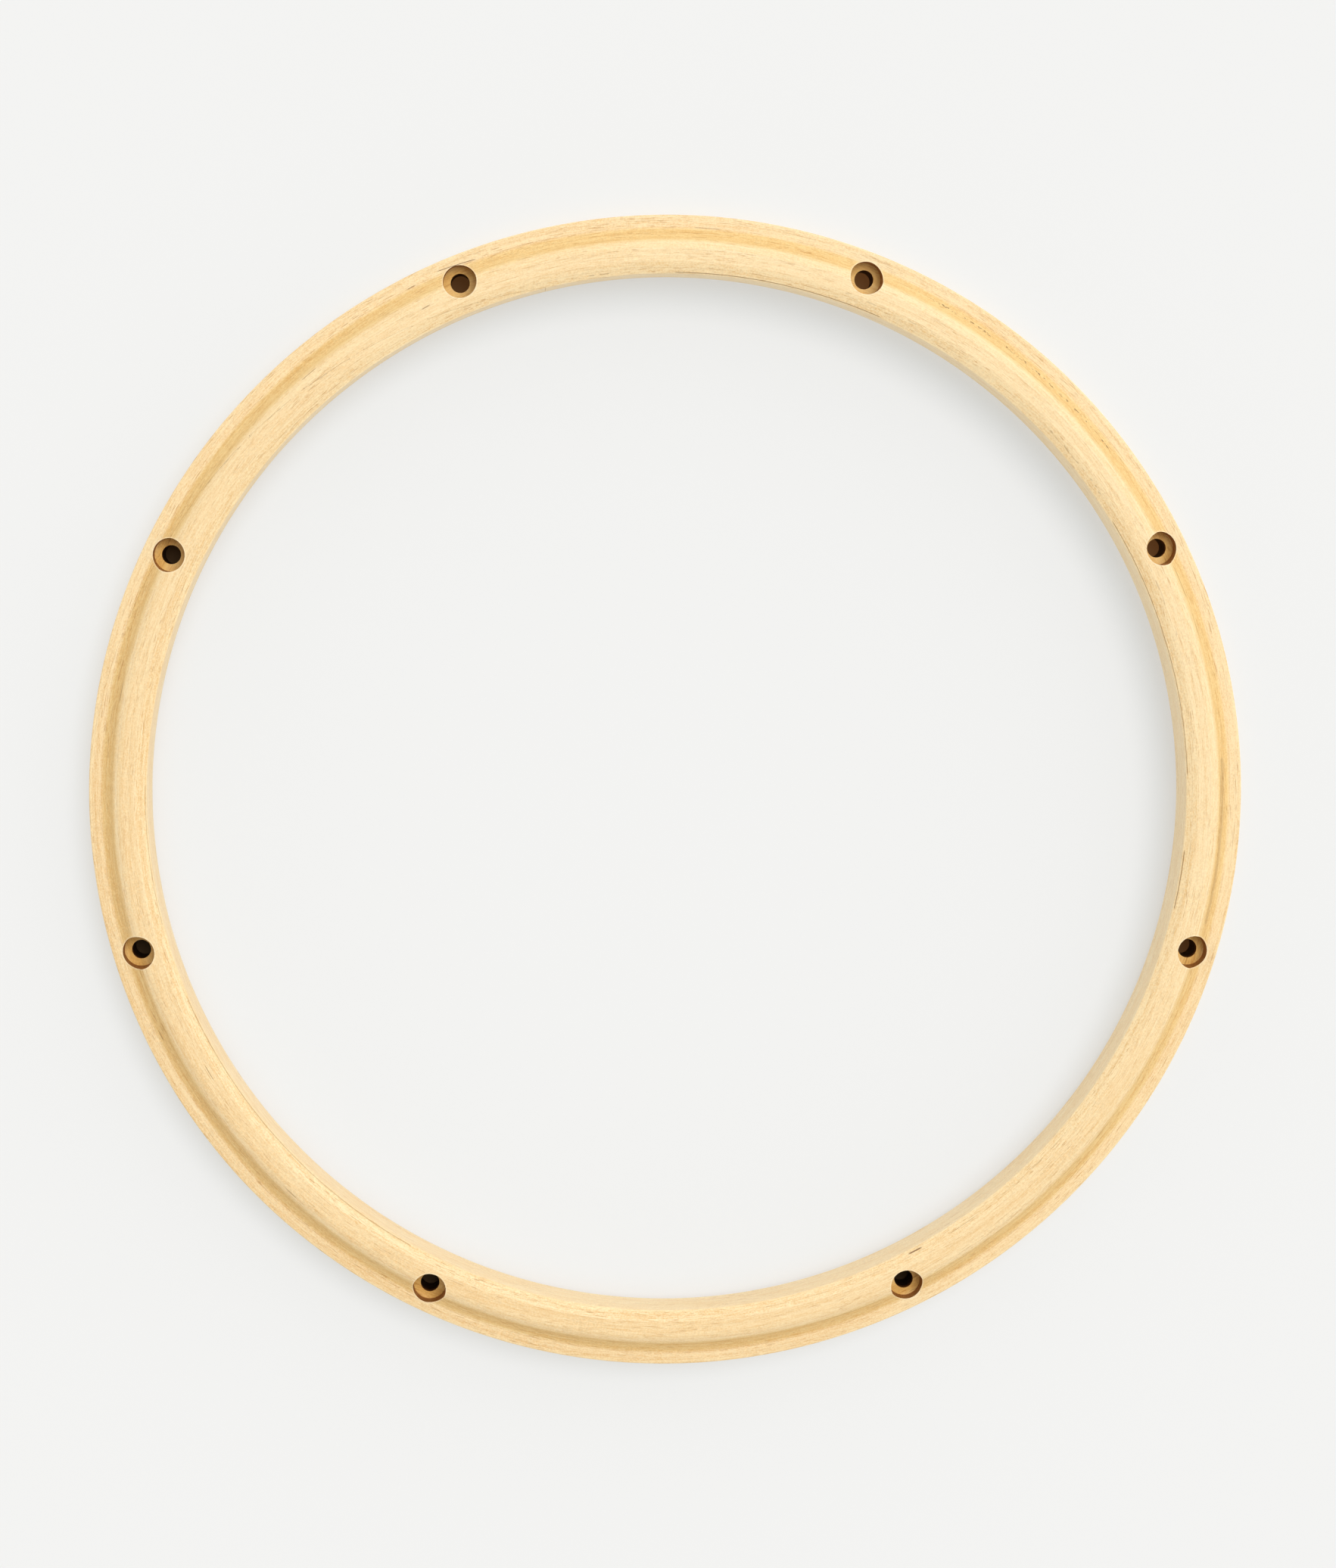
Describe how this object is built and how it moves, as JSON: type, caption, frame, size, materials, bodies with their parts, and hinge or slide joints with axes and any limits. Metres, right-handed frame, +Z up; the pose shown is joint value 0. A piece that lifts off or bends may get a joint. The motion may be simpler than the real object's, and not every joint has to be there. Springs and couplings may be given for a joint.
{
  "type": "wooden drum hoop",
  "caption": "Laminated maple drum hoop: a beaded ring with counterbored tension rod holes and a rebate under its inner edge that holds a drumhead down.",
  "frame": {"origin": "centre of the ring on its flat underside", "axes": "+Z up out of the beaded top face; +Y about half way between two rod holes; +X to its right seen from above"},
  "size_m": [0.401, 0.401, 0.0265],
  "materials": {
    "maple_light": "pale maple, thin satin clear finish",
    "maple_warm": "warmer maple, thin satin clear finish"
  },
  "bodies": {
    "root": {"ply_01_outer": "maple_light", "ply_02": "maple_warm", "ply_03": "maple_light", "ply_04_arc_1": "maple_warm", "ply_04_arc_2": "maple_warm", "ply_04_arc_3": "maple_warm", "ply_04_arc_4": "maple_warm", "ply_04_arc_5": "maple_warm", "ply_04_arc_6": "maple_warm", "ply_04_arc_7": "maple_warm", "ply_04_arc_8": "maple_warm", "ply_04_arc_9": "maple_warm", "ply_05_arc_1": "maple_light", "ply_05_arc_2": "maple_light", "ply_05_arc_3": "maple_light", "ply_05_arc_4": "maple_light", "ply_05_arc_5": "maple_light", "ply_05_arc_6": "maple_light", "ply_05_arc_7": "maple_light", "ply_05_arc_8": "maple_light", "ply_05_arc_9": "maple_light", "ply_06_arc_1": "maple_warm", "ply_06_arc_2": "maple_warm", "ply_06_arc_3": "maple_warm", "ply_06_arc_4": "maple_warm", "ply_06_arc_5": "maple_warm", "ply_06_arc_6": "maple_warm", "ply_06_arc_7": "maple_warm", "ply_06_arc_8": "maple_warm", "ply_06_arc_9": "maple_warm", "ply_07": "maple_light", "ply_08": "maple_warm", "ply_09": "maple_light", "ply_10_inner": "maple_warm"}
  },
  "joints": []
}
